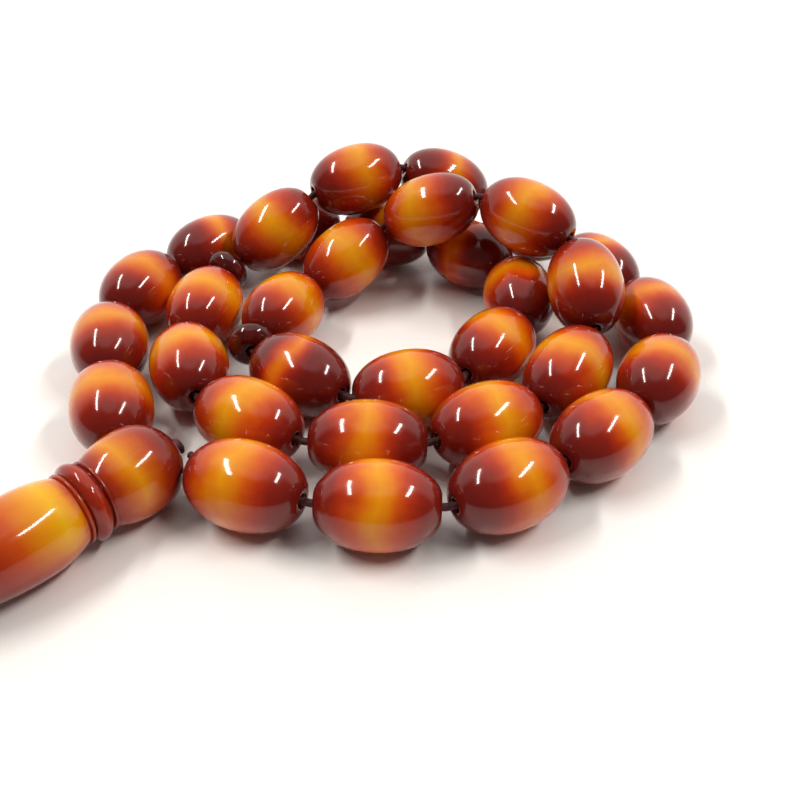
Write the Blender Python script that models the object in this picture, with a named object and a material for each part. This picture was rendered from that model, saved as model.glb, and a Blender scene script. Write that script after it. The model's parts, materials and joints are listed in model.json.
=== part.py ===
"""Misbaha prayer beads, laid down in a double coil on a table.

Thirty-three turned beads and two dividers are threaded on one string. Both ends of the string
meet at the leader, a longer turned bead. Its doubled cord runs through it to a knot, and a
tassel hangs from the knot. The dividers part the beads into three groups of eleven.

Lengths are millimetres until they reach a mesh. +Z is up and the table is z = 0. The lay is
listed about the middle of the coil, and at the end the whole object is moved so that the origin
is the middle of its footprint.
"""

import math

import bmesh
import bpy
from mathutils import Matrix, Vector

MM = 0.001

# Beads: a full oval cut flat at both ends
BEAD_LENGTH = 13.0
BEAD_DIAMETER = 9.6
BEAD_END_DIAMETER = 3.2
FULLNESS = 2.1  # exponent of every turned oval: 2 is an ellipse, more is fuller

# Dividers: small flat saucers
DIVIDER_LENGTH = 3.0
DIVIDER_DIAMETER = 6.0
DIVIDER_END_DIAMETER = 3.2

# String, and the leader's cord, which is the string doubled
STRING_DIAMETER = 0.9
CORD_DIAMETER = 2 * STRING_DIAMETER
BORE_CLEARANCE = 0.45  # between a cord and the wall of its bore
CLEARANCE = 0.3  # between pieces that face each other
STRING_OVERRUN = 0.3  # how far the string runs straight out of each bore before it bends

# Leader, from its tip to its foot
LEADER_TIP_DIAMETER = 4.0
LEADER_HEAD_DIAMETER = 9.8
LEADER_HEAD_LENGTH = 9.8
LEADER_HEAD_WIDEST = 4.65  # distance from the tip
LEADER_WAIST_DIAMETER = 7.6
COLLAR_LENGTH = 2.7
COLLAR_DIAMETER = 8.8
LEADER_BODY_LENGTH = 15.5
LEADER_BODY_DIAMETER = 9.4
LEADER_BODY_WIDEST = 5.0  # distance from the collar
LEADER_NECK_DIAMETER = 4.4
FOOT_LENGTH = 2.8
FOOT_DIAMETER = 5.6
FOOT_END_DIAMETER = 4.0

# Knot and tassel
KNOT_DIAMETER = 3.4
TASSEL_CORD_LENGTH = 6.0
TASSEL_CORD_DIAMETER = 1.2
TASSEL_HEAD_LENGTH = 7.0
TASSEL_TOP_DIAMETER = 2.4
TASSEL_HEAD_DIAMETER = 6.2
TASSEL_NECK_DIAMETER = 4.6
SKIRT_LENGTH = 26.0
SKIRT_END_DIAMETER = 6.6

# The bead and the leader that the lay was set out for; larger ones spread it out
LAY_BEAD_LENGTH = 13.0
LAY_BEAD_DIAMETER = 9.6
LAY_LEADER_DIAMETER = 9.8

# Places of the middles along the string: x, y and the lift above resting on the table
FIRST_GROUP = [
    (-14.5, -27.75, 0.0),
    (-0.75, -30.75, 0.0),
    (12.75, -27.75, 0.0),
    (23.75, -19.5, 0.0),
    (32.25, -8.75, 0.0),
    (34.25, 4.75, 0.0),
    (29.25, 17.5, 0.0),
    (20.25, 27.75, 2.0),
    (8.0, 30.75, 7.0),
    (-4.75, 26.75, 9.5),
    (-16.0, 21.0, 4.5),
]
FIRST_DIVIDER = (-22.5, 16.0, 0.75)
SECOND_GROUP = [
    (-24.25, 7.5, 0.0),
    (-24.0, -6.25, 0.0),
    (-15.5, -16.75, 0.0),
    (-2.0, -20.75, 0.0),
    (11.25, -17.5, 0.0),
    (21.5, -8.5, 0.75),
    (25.0, 4.25, 5.0),
    (18.5, 15.25, 9.25),
    (5.75, 20.0, 8.0),
    (-6.0, 17.5, 1.75),
    (-13.75, 6.5, 0.0),
]
SECOND_DIVIDER = (-17.0, -1.75, 0.25)
THIRD_GROUP = [
    (-10.5, -8.0, 0.0),
    (2.5, -11.0, 0.0),
    (13.0, -2.5, 0.0),
    (17.5, 10.25, 0.0),
    (11.5, 22.25, 0.0),
    (-0.5, 28.75, 0.0),
    (-14.0, 30.25, 0.0),
    (-26.0, 23.5, 0.0),
    (-33.75, 12.25, 0.0),
    (-34.75, -1.5, 0.0),
    (-31.5, -14.5, 0.0),
]

# The strand's first and last directions run from here to the first bead and from the last to here
STRAND_START = (-17.25, -25.75, 0.0)
STRAND_END = (-31.0, -30.0, 0.0)
SETTLING_ROUNDS = 10

# The string's bends from the leader to the first bead, and from the last bead to the leader
OUT_OF_LEADER = [(-20.0, -22.4, -1.3), (-20.6, -23.9, -1.2)]
INTO_LEADER = [
    (-29.7, -21.4, -1.2),
    (-29.2, -21.1, -2.4),
    (-28.0, -20.4, -3.3),
    (-26.0, -19.4, -2.9),
    (-24.1, -18.6, -1.7),
]

# The leader's tip and the way the leader points from there, in degrees about +Z
LEADER_TIP = (-23.25, -22.25)
LEADER_HEADING = 228.0
PIVOT_GAP = 0.7  # from the tip to the point where the string's ends meet
STRING_END_SPREAD = 55.0  # degrees either side of the leader's axis
STRING_END_DROP = 30.0  # degrees below level

BEAD_SIDES = 16
BEAD_BANDS = 6
LEADER_SIDES = 20
CORD_ROUNDNESS = 2


def clear_scene():
    for obj in list(bpy.data.objects):
        bpy.data.objects.remove(obj, do_unlink=True)


def material(name, colour, roughness):
    finish = bpy.data.materials.new(name)
    finish.use_nodes = True
    shader = finish.node_tree.nodes["Principled BSDF"]
    shader.inputs["Base Color"].default_value = (*colour, 1.0)
    shader.inputs["Roughness"].default_value = roughness
    return finish


def oval_reach(length, widest_radius, end_radius):
    """Half-length of the whole oval that has the end radius at this length from its middle."""
    return length / (1.0 - (end_radius / widest_radius) ** FULLNESS) ** (1.0 / FULLNESS)


def oval_radius(x, reach, widest_radius):
    return widest_radius * (1.0 - (abs(x) / reach) ** FULLNESS) ** (1.0 / FULLNESS)


def oval_arc(start, widest, end, radii, bands):
    """Points (x, radius) along an oval from start to end; radii are those at start, widest and end."""
    start_radius, widest_radius, end_radius = radii
    points = []
    for band in range(bands + 1):
        turn = math.pi * (band / bands - 0.5)
        offset = math.sin(turn)
        if offset < 0.0:
            length = widest - start
            reach = oval_reach(length, widest_radius, start_radius)
        else:
            length = end - widest
            reach = oval_reach(length, widest_radius, end_radius)
        x = offset * length
        points.append((widest + x, oval_radius(x, reach, widest_radius)))
    return points


def bored(outline, bore_radius):
    """Closes an outline, listed along +X, with a straight bore."""
    return outline + [(outline[-1][0], bore_radius), (outline[0][0], bore_radius)]


def turned(name, profile, sides):
    """Solid of revolution about X. A profile that starts on the axis has no bore."""
    shape = bmesh.new()
    verts = [shape.verts.new((x * MM, 0.0, -radius * MM)) for x, radius in profile]
    ring = verts[1:] if profile[0][1] == 0.0 else verts[1:] + verts[:1]
    edges = [shape.edges.new(pair) for pair in zip(verts, ring)]
    bmesh.ops.spin(
        shape, geom=verts + edges, cent=(0, 0, 0), axis=(1, 0, 0),
        angle=2 * math.pi, steps=sides, use_merge=True,
    )
    bmesh.ops.remove_doubles(shape, verts=shape.verts, dist=1e-7)
    bmesh.ops.recalc_face_normals(shape, faces=shape.faces)
    mesh = bpy.data.meshes.new(name)
    shape.to_mesh(mesh)
    shape.free()
    mesh.shade_smooth()
    mesh.set_sharp_from_angle(angle=math.radians(40))
    return mesh


def add(name, data, finish, parent):
    obj = bpy.data.objects.new(name, data)
    data.materials.clear()
    data.materials.append(finish)
    bpy.context.collection.objects.link(obj)
    obj.parent = parent
    return obj


def add_empty(name, place, turn, parent):
    empty = bpy.data.objects.new(name, None)
    bpy.context.collection.objects.link(empty)
    empty.parent = parent
    empty.location = place * MM
    empty.rotation_mode = "QUATERNION"
    empty.rotation_quaternion = turn
    return empty


def point_along(obj, place, direction):
    obj.location = place * MM
    obj.rotation_mode = "QUATERNION"
    obj.rotation_quaternion = direction.to_track_quat("X", "Z")


def add_cord(name, points, diameter, finish, parent):
    """A round cord through the points, cut square at both ends."""
    curve = bpy.data.curves.new(name, "CURVE")
    curve.dimensions = "3D"
    curve.bevel_depth = diameter / 2 * MM
    curve.bevel_resolution = CORD_ROUNDNESS
    curve.use_fill_caps = True
    spline = curve.splines.new("POLY")
    spline.points.add(len(points) - 1)
    for spline_point, point in zip(spline.points, points):
        spline_point.co = (*(point * MM), 1.0)
    return add(name, curve, finish, parent)


def lay_scale():
    """Larger beads or a thicker leader need a wider lay; smaller ones lie in the same one."""
    return max(
        1.0,
        BEAD_LENGTH / LAY_BEAD_LENGTH,
        BEAD_DIAMETER / LAY_BEAD_DIAMETER,
        LEADER_HEAD_DIAMETER / LAY_LEADER_DIAMETER,
    )


def laid(point):
    """A listed place as a point in space: the lift is counted from the height of a resting bead."""
    x, y, lift = point
    scale = lay_scale()
    return Vector((x * scale, y * scale, BEAD_DIAMETER / 2 + lift * scale))


def heading():
    turn = math.radians(LEADER_HEADING)
    return Vector((math.cos(turn), math.sin(turn), 0.0))


def leader_tip():
    scale = lay_scale()
    resting_height = max(LEADER_HEAD_DIAMETER, LEADER_BODY_DIAMETER) / 2
    return Vector((LEADER_TIP[0] * scale, LEADER_TIP[1] * scale, resting_height))


def strand():
    """The pieces on the string in order: kind, middle and direction of the bore."""
    kinds = (
        ["bead"] * len(FIRST_GROUP) + ["divider"] + ["bead"] * len(SECOND_GROUP)
        + ["divider"] + ["bead"] * len(THIRD_GROUP)
    )
    lengths = {"bead": BEAD_LENGTH, "divider": DIVIDER_LENGTH}
    halves = [lengths[kind] / 2 for kind in kinds]
    listed = FIRST_GROUP + [FIRST_DIVIDER] + SECOND_GROUP + [SECOND_DIVIDER] + THIRD_GROUP
    middles = [laid(point) for point in listed]
    directions = bore_directions(laid(STRAND_START), middles, laid(STRAND_END), halves)
    return list(zip(kinds, middles, directions))


def bore_directions(start, middles, end, halves):
    """Turns each piece on its middle until the mouths of neighbouring bores face each other."""
    places = [start] + middles + [end]
    directions = []
    for before, middle, after in zip(places, places[1:], places[2:]):
        directions.append(((middle - before).normalized() + (after - middle).normalized()).normalized())
    for _ in range(SETTLING_ROUNDS):
        near = [m - d * h for m, d, h in zip(middles, directions, halves)]
        far = [m + d * h for m, d, h in zip(middles, directions, halves)]
        between = [(this + following) / 2 for this, following in zip(far, near[1:])]
        meetings = [near[0]] + between + [far[-1]]
        directions = [(b - a).normalized() for a, b in zip(meetings, meetings[1:])]
    return directions


def bead_mesh():
    half = BEAD_LENGTH / 2
    radii = (BEAD_END_DIAMETER / 2, BEAD_DIAMETER / 2, BEAD_END_DIAMETER / 2)
    outline = oval_arc(-half, 0.0, half, radii, BEAD_BANDS)
    return turned("bead", bored(outline, STRING_DIAMETER / 2 + BORE_CLEARANCE), BEAD_SIDES)


def divider_mesh():
    half = DIVIDER_LENGTH / 2
    radii = (DIVIDER_END_DIAMETER / 2, DIVIDER_DIAMETER / 2, DIVIDER_END_DIAMETER / 2)
    outline = oval_arc(-half, 0.0, half, radii, BEAD_BANDS)
    return turned("divider", bored(outline, STRING_DIAMETER / 2 + BORE_CLEARANCE), BEAD_SIDES)


def leader_mesh():
    """Head, collar, body and foot in one turned piece, with its tip at x = 0."""
    head_radii = (LEADER_TIP_DIAMETER / 2, LEADER_HEAD_DIAMETER / 2, LEADER_WAIST_DIAMETER / 2)
    head = oval_arc(0.0, LEADER_HEAD_WIDEST, LEADER_HEAD_LENGTH, head_radii, 10)
    collar_start = LEADER_HEAD_LENGTH
    collar_end = collar_start + COLLAR_LENGTH
    collar_radii = (LEADER_WAIST_DIAMETER / 2, COLLAR_DIAMETER / 2, LEADER_WAIST_DIAMETER / 2)
    collar = oval_arc(collar_start, (collar_start + collar_end) / 2, collar_end, collar_radii, 4)
    body_end = collar_end + LEADER_BODY_LENGTH
    body_radii = (LEADER_WAIST_DIAMETER / 2, LEADER_BODY_DIAMETER / 2, LEADER_NECK_DIAMETER / 2)
    body = oval_arc(collar_end, collar_end + LEADER_BODY_WIDEST, body_end, body_radii, 10)
    foot_end = body_end + FOOT_LENGTH
    foot_radii = (LEADER_NECK_DIAMETER / 2, FOOT_DIAMETER / 2, FOOT_END_DIAMETER / 2)
    foot = oval_arc(body_end, body_end + FOOT_LENGTH / 3, foot_end, foot_radii, 4)
    outline = head + collar[1:] + body[1:] + foot[1:]
    return turned("leader", bored(outline, CORD_DIAMETER / 2 + BORE_CLEARANCE), LEADER_SIDES)


def leader_length():
    return LEADER_HEAD_LENGTH + COLLAR_LENGTH + LEADER_BODY_LENGTH + FOOT_LENGTH


def round_end(middle, radius, start, end, bands):
    """Points (x, radius) along a ball, between two angles in degrees from the -X pole."""
    points = []
    for band in range(bands + 1):
        angle = math.radians(start + (end - start) * band / bands)
        points.append((middle - radius * math.cos(angle), radius * math.sin(angle)))
    return points


def knot_middle():
    return PIVOT_GAP + leader_length() + CLEARANCE + KNOT_DIAMETER / 2


def leader_cord_mesh():
    """The doubled cord from its round end, where it pivots at x = 0, to the knot past the foot."""
    cord_radius = CORD_DIAMETER / 2
    knot_radius = KNOT_DIAMETER / 2
    near_pole = math.degrees(math.asin(cord_radius / knot_radius))
    tip = round_end(0.0, cord_radius, 0.0, 90.0, 4)
    knot = round_end(knot_middle(), knot_radius, near_pole, 180.0, 6)
    profile = tip + knot
    profile[0] = (profile[0][0], 0.0)
    profile[-1] = (profile[-1][0], 0.0)
    return turned("leader_cord", profile, 12)


def tassel_head_mesh():
    half = TASSEL_HEAD_LENGTH / 2
    radii = (TASSEL_TOP_DIAMETER / 2, TASSEL_HEAD_DIAMETER / 2, TASSEL_NECK_DIAMETER / 2)
    outline = oval_arc(0.0, half, TASSEL_HEAD_LENGTH, radii, 6)
    return turned("tassel_head", [(0.0, 0.0)] + outline + [(TASSEL_HEAD_LENGTH, 0.0)], LEADER_SIDES)


def tassel_skirt_mesh():
    """Threads hanging from the neck, drawn as one body that widens to its end."""
    neck_radius = TASSEL_NECK_DIAMETER / 2
    end_radius = SKIRT_END_DIAMETER / 2
    outline = [(0.0, neck_radius)]
    for share in (0.15, 0.4, 0.7, 1.0):
        swell = math.sin(share * math.pi / 2)
        outline.append((SKIRT_LENGTH * share, neck_radius + (end_radius - neck_radius) * swell))
    return turned("tassel_skirt", [(0.0, 0.0)] + outline + [(SKIRT_LENGTH, 0.0)], LEADER_SIDES)


def add_strand(root, resin, dark_resin, thread):
    """Beads, dividers and the string, which bends only between them."""
    meshes = {"bead": bead_mesh(), "divider": divider_mesh()}
    lengths = {"bead": BEAD_LENGTH, "divider": DIVIDER_LENGTH}
    finishes = {"bead": resin, "divider": dark_resin}
    counts = {"bead": 0, "divider": 0}
    string_points = string_end(1) + [laid(point) for point in OUT_OF_LEADER]
    for kind, middle, direction in strand():
        counts[kind] += 1
        number = f"{counts[kind]:02d}" if kind == "bead" else f"{counts[kind]}"
        piece = add(f"{kind}_{number}", meshes[kind], finishes[kind], root)
        point_along(piece, middle, direction)
        mouth = direction * (lengths[kind] / 2 + STRING_OVERRUN)
        string_points += [middle - mouth, middle + mouth]
    string_points += [laid(point) for point in INTO_LEADER] + string_end(-1)[::-1]
    add_cord("string_loop", string_points, STRING_DIAMETER, thread, root)


def pivot():
    return leader_tip() - heading() * PIVOT_GAP


def string_end(side):
    """The string's last two points, facing the round end of the leader's cord from one side."""
    away = -heading()
    away.rotate(Matrix.Rotation(-side * math.radians(STRING_END_SPREAD), 3, "Z"))
    away.z = -math.tan(math.radians(STRING_END_DROP))
    away.normalize()
    start = pivot() + away * (CORD_DIAMETER / 2 + CLEARANCE)
    return [start, start + away * STRING_DIAMETER]


def add_leader(root, resin, thread):
    joint = add_empty("leader_pivot", pivot(), heading().to_track_quat("X", "Z"), root)
    add("leader_cord", leader_cord_mesh(), thread, joint)
    leader = add("leader", leader_mesh(), resin, joint)
    leader.location = Vector((PIVOT_GAP, 0.0, 0.0)) * MM
    return joint


def add_tassel(leader_pivot, thread):
    """The tassel swings about the knot and lies with its axis at its own resting height."""
    swivel_place = Vector((knot_middle(), 0.0, 0.0))
    swivel = add_empty("tassel_pivot", swivel_place, (1.0, 0.0, 0.0, 0.0), leader_pivot)
    drop = max(SKIRT_END_DIAMETER, TASSEL_HEAD_DIAMETER) / 2 - leader_tip().z
    cord_start = KNOT_DIAMETER / 2 + CLEARANCE
    cord_end = cord_start + TASSEL_CORD_LENGTH
    cord_points = []
    for share in (0.0, 0.25, 0.5, 0.75, 1.0):
        fall = drop * (3 * share**2 - 2 * share**3)
        cord_points.append(Vector((cord_start + TASSEL_CORD_LENGTH * share, 0.0, fall)))
    add_cord("tassel_cord", cord_points, TASSEL_CORD_DIAMETER, thread, swivel)
    head = add("tassel_head", tassel_head_mesh(), thread, swivel)
    head.location = Vector((cord_end + CLEARANCE, 0.0, drop)) * MM
    skirt = add("tassel_skirt", tassel_skirt_mesh(), thread, swivel)
    skirt_start = cord_end + CLEARANCE + TASSEL_HEAD_LENGTH + CLEARANCE
    skirt.location = Vector((skirt_start, 0.0, drop)) * MM


def centre_footprint(root):
    """Moves the root so that the origin is the middle of the object's footprint."""
    bpy.context.view_layer.update()
    graph = bpy.context.evaluated_depsgraph_get()
    corners = []
    for obj in bpy.context.scene.objects:
        if obj.type in {"MESH", "CURVE"}:
            shown = obj.evaluated_get(graph)
            mesh = shown.to_mesh()
            corners += [obj.matrix_world @ vert.co for vert in mesh.vertices]
            shown.to_mesh_clear()
    for axis in (0, 1):
        values = [corner[axis] for corner in corners]
        root.location[axis] -= (min(values) + max(values)) / 2


def build():
    clear_scene()
    resin = material("amber_resin", (0.55, 0.12, 0.02), 0.12)
    leader_resin = material("leader_resin", (0.60, 0.16, 0.02), 0.12)
    dark_resin = material("dark_resin", (0.10, 0.02, 0.02), 0.15)
    thread = material("maroon_thread", (0.12, 0.02, 0.03), 0.8)
    root = add_empty("misbaha", Vector((0.0, 0.0, 0.0)), (1.0, 0.0, 0.0, 0.0), None)
    add_strand(root, resin, dark_resin, thread)
    leader_pivot = add_leader(root, leader_resin, thread)
    add_tassel(leader_pivot, thread)
    centre_footprint(root)


build()
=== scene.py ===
"""Misbaha prayer beads laid down in a double coil: the finished look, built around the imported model.

Lengths are millimetres until they reach a mesh. Every mesh is worked out in place, so each object
stays at the origin. The sections follow the object as it is threaded: string, beads, dividers,
leader, its cord and knot, tassel.
"""

import json
import math

import bpy
import numpy as np
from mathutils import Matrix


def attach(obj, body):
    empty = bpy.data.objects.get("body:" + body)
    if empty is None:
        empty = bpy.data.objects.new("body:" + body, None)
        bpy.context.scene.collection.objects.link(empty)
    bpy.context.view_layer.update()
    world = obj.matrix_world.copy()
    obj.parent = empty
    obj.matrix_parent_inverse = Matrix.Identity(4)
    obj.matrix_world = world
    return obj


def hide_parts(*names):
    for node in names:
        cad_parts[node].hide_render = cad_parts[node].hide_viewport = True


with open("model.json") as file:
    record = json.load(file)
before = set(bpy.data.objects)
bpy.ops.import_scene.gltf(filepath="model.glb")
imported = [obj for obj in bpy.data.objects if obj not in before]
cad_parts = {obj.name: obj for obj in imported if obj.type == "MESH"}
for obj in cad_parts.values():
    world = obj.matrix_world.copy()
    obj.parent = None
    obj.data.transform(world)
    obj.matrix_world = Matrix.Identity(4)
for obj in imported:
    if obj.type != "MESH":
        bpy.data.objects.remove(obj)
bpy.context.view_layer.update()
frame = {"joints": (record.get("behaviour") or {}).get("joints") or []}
joints = {joint["name"]: joint for joint in frame["joints"]}
MM = 0.001

# --- Camera -----------------------------------------------------------------------------------
# It looks down on the front of the coil from close by. The coil's middle is found from the first
# bead, because the leader and its tassel pull the middle of the whole object to one side.

FIRST_BEAD = np.array([-14.5, -27.75])  # from the coil's middle
CAMERA_PLACE = np.array([1.5, -103.0, 72.4])  # from the coil's middle
CAMERA_TILT = 36.9  # degrees below level
CAMERA_LENS = 43.8

coil_middle = np.array(joints["bead_01_spin"]["pos_m"]) / MM
coil_middle[:2] -= FIRST_BEAD
coil_middle[2] = 0.0

camera_data = bpy.data.cameras.new("camera")
camera_data.lens = CAMERA_LENS
camera_data.sensor_width = 36.0
camera_data.clip_start = 0.005
camera = bpy.data.objects.new("camera", camera_data)
camera.location = (coil_middle + CAMERA_PLACE) * MM
camera.rotation_euler = (math.radians(90.0 - CAMERA_TILT), 0.0, 0.0)
bpy.context.collection.objects.link(camera)
bpy.context.scene.camera = camera

# --- Studio -----------------------------------------------------------------------------------
# A white laminate table in a bright room, and two long tube lights that run away from the viewer
# above the left and the right side. Each polished piece mirrors both tubes as a thin streak, and
# the dim wall on the viewer's side as a deeper band round its middle.

TABLE_SIZE = 6000.0
TABLE_WHITE = "#f6f4f1"
WALL_TOP = 66.0  # degrees above level, where the dim wall meets the ceiling
WALL_BLEND = 16.0
WALL_SIDE = 0.25  # how far round the dim wall reaches: 0 is straight left and right
WALL_LIGHT = 0.1
ROOM_LIGHT = 0.9
BACKDROP_LIGHT = 1.0  # what the viewer sees past the table
TUBE_WIDTH = 0.07  # metres, as are the other lengths below
TUBE_HEIGHT = 0.8
TUBE_POWER = 4.6
TUBES = {  # x, y, length and turn about Z in degrees
    "left_tube": (-0.49, 0.02, 0.62, -7.0),
    "right_tube": (0.57, -0.05, 0.55, -9.0),
}


def linear(code):
    """An sRGB hex colour as linear red, green, blue and 1."""
    shares = np.array([int(code[i:i + 2], 16) for i in (1, 3, 5)]) / 255.0
    values = np.where(shares <= 0.04045, shares / 12.92, ((shares + 0.055) / 1.055) ** 2.4)
    return (*values.tolist(), 1.0)


def node(owner, kind, inputs=None, stops=None, **settings):
    """Adds a node. inputs maps a socket to a value or to another node's output, stops are a
    colour ramp's places and colours, and settings are the node's own properties."""
    tree = owner.node_tree
    made = tree.nodes.new(kind)
    for name, value in settings.items():
        setattr(made, name, value)
    for name, value in (inputs or {}).items():
        if isinstance(value, bpy.types.NodeSocket):
            tree.links.new(value, made.inputs[name])
        else:
            made.inputs[name].default_value = value
    if stops:
        elements = made.color_ramp.elements
        for _ in stops[2:]:
            elements.new(0.5)
        for element, (place, code) in zip(elements, stops):
            element.position = place
            element.color = linear(code)
    return made


def finish(name):
    """An empty material and its output node, ready for nodes."""
    made = bpy.data.materials.new(name)
    made.use_nodes = True
    made.node_tree.nodes.clear()
    return made, node(made, "ShaderNodeOutputMaterial")


world = bpy.data.worlds.new("studio")
world.use_nodes = True
world.node_tree.nodes.clear()
bpy.context.scene.world = world
bpy.context.scene.view_settings.view_transform = "Standard"
sky_way = node(world, "ShaderNodeTexCoord")
sky_parts = node(world, "ShaderNodeSeparateXYZ", {0: sky_way.outputs["Generated"]})
sky_steepness = node(
    world, "ShaderNodeMath", {0: sky_parts.outputs["Z"]}, operation="ARCSINE"
)
sky_wall = node(
    world, "ShaderNodeMapRange",
    {
        "Value": sky_steepness.outputs[0],
        "From Min": math.radians(WALL_TOP + WALL_BLEND / 2),
        "From Max": math.radians(WALL_TOP - WALL_BLEND / 2),
    },
    interpolation_type="SMOOTHSTEP",
)
sky_front = node(
    world, "ShaderNodeMapRange",
    {"Value": sky_parts.outputs["Y"], "From Min": WALL_SIDE, "From Max": -0.1},
    interpolation_type="SMOOTHSTEP",
)
sky_dim = node(
    world, "ShaderNodeMath", {0: sky_wall.outputs[0], 1: sky_front.outputs[0]},
    operation="MULTIPLY",
)
sky_light = node(
    world, "ShaderNodeMapRange",
    {"Value": sky_dim.outputs[0], "To Min": ROOM_LIGHT, "To Max": WALL_LIGHT},
)
sky_path = node(world, "ShaderNodeLightPath")
sky_seen = node(
    world, "ShaderNodeMix",
    {
        0: sky_path.outputs["Is Camera Ray"],
        2: sky_light.outputs[0],
        3: BACKDROP_LIGHT,
    },
    data_type="FLOAT",
)
sky_shine = node(
    world, "ShaderNodeBackground",
    {"Color": linear("#fffdfa"), "Strength": sky_seen.outputs[0]},
)
node(world, "ShaderNodeOutputWorld", {"Surface": sky_shine.outputs[0]})

for tube_name, (tube_x, tube_y, tube_length, tube_turn) in TUBES.items():
    tube_data = bpy.data.lights.new(tube_name, "AREA")
    tube_data.shape = "RECTANGLE"
    tube_data.size = TUBE_WIDTH
    tube_data.size_y = tube_length
    tube_data.energy = TUBE_POWER
    tube_data.color = linear("#fffaf4")[:3]
    tube = bpy.data.objects.new(tube_name, tube_data)
    tube.location = np.array([tube_x, tube_y, TUBE_HEIGHT]) + coil_middle * MM
    tube.rotation_euler = (0.0, math.atan2(tube_x, TUBE_HEIGHT), math.radians(tube_turn))
    bpy.context.collection.objects.link(tube)

# White melamine laminate: smooth, slightly glossy, with a faint uneven sheen.
laminate, laminate_out = finish("white_melamine_laminate")
laminate_place = node(laminate, "ShaderNodeTexCoord")
laminate_cloud = node(
    laminate, "ShaderNodeTexNoise",
    {"Vector": laminate_place.outputs["Object"], "Scale": 60.0, "Detail": 3.0},
)
laminate_sheen = node(
    laminate, "ShaderNodeMapRange",
    {"Value": laminate_cloud.outputs["Fac"], "To Min": 0.2, "To Max": 0.32},
)
laminate_shader = node(
    laminate, "ShaderNodeBsdfPrincipled",
    {
        "Base Color": linear(TABLE_WHITE),
        "Roughness": laminate_sheen.outputs[0],
        "IOR": 1.45,
    },
)
laminate.node_tree.links.new(laminate_shader.outputs[0], laminate_out.inputs["Surface"])

half_table = TABLE_SIZE / 2 * MM
table_mesh = bpy.data.meshes.new("table")
table_mesh.from_pydata(
    [(-half_table, -half_table, 0), (half_table, -half_table, 0),
     (half_table, half_table, 0), (-half_table, half_table, 0)],
    [], [(0, 1, 2, 3)],
)
table_mesh.materials.append(laminate)
table = bpy.data.objects.new("table", table_mesh)
bpy.context.collection.objects.link(table)

# --- String -----------------------------------------------------------------------------------
# One length of waxed maroon thread, three plies twisted together. It runs straight through every
# bore and bends between the pieces; both its ends reach the leader's tip.

BEAD_COUNT = 33
GROUP = 11  # beads between two dividers
BEAD_LENGTH = 13.0
BEAD_DIAMETER = 9.6
DIVIDER_LENGTH = 3.0
STRING_DIAMETER = 0.9
STRING_STEP = 0.2  # between two rings of the mesh
STRING_EASE = 7  # rings over which a bend is rounded
STRING_SIDES = 12
STRING_PLIES = 3
PLY_DEPTH = 0.09  # of the groove between two plies, as a share of the radius
PLY_PITCH = 2.6  # length of one full twist
TIP_SHRINK = (0.02, 0.7)  # share of the radius left at a cut end, and one ring before it
# Bends beside the leader, from the coil's middle, with the lift over a resting bead's axis
OUT_OF_LEADER = [(-20.0, -22.4, -1.3), (-20.6, -23.9, -1.2)]
INTO_LEADER = [
    (-29.7, -21.4, -1.2), (-29.2, -21.1, -2.4), (-28.0, -20.4, -3.3), (-26.0, -19.4, -2.9),
    (-24.1, -18.6, -1.7),
]
STRING_END_GAP = 1.2  # from the leader's pivot to where each end of the string starts
STRING_END_SPREAD = 55.0  # degrees either side of the leader's axis
STRING_END_DROP = 30.0  # degrees below level


def place_of(joint):
    """Where a joint lies, in mm."""
    return np.array(joints[joint]["pos_m"]) / MM


def axis_of(joint):
    """The unit vector of a joint's axis."""
    return np.array(joints[joint]["axis"])


def frames_along(tangents):
    """For each direction, a level side vector and the one square to both."""
    side = np.cross(tangents, [0.0, 0.0, 1.0])
    side /= np.linalg.norm(side, axis=-1, keepdims=True)
    return side, np.cross(side, tangents)


def grid_faces(rows, columns, rows_close, columns_close):
    """Quads between neighbouring points of a grid, wrapping round where it closes."""
    index = np.arange(rows * columns).reshape(rows, columns)
    if rows_close:
        index = np.vstack([index, index[:1]])
    if columns_close:
        index = np.hstack([index, index[:, :1]])
    corners = [index[:-1, :-1], index[1:, :-1], index[1:, 1:], index[:-1, 1:]]
    return np.stack(corners, axis=-1).reshape(-1, 4)


def piece(name, points, faces, finish_of, attributes=None):
    """A smooth-shaded object from points in mm, with named vectors stored at its points."""
    mesh = bpy.data.meshes.new(name)
    mesh.from_pydata((points.reshape(-1, 3) * MM).tolist(), [], faces.tolist())
    for key, values in (attributes or {}).items():
        stored = mesh.attributes.new(key, "FLOAT_VECTOR", "POINT")
        stored.data.foreach_set("vector", values.reshape(-1).astype(np.float32))
    mesh.shade_smooth()
    mesh.materials.append(finish_of)
    made = bpy.data.objects.new(name, mesh)
    bpy.context.collection.objects.link(made)
    return made


def eased(corners, step, reach):
    """Points every step along straight runs between the corners, each then replaced by the mean
    of the reach points round it, so that the corners come out round."""
    corners = np.asarray(corners, float)
    lengths = np.linalg.norm(np.diff(corners, axis=0), axis=1)
    along = np.concatenate([[0.0], np.cumsum(lengths)])
    places = np.linspace(0.0, along[-1], int(along[-1] / step) + 1)
    points = np.stack([np.interp(places, along, corners[:, i]) for i in range(3)], axis=1)
    padded = np.concatenate([np.repeat(points[:1], reach // 2, 0), points,
                             np.repeat(points[-1:], reach // 2, 0)])
    window = np.lib.stride_tricks.sliding_window_view(padded, reach, axis=0)
    return window.mean(axis=-1)


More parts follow.
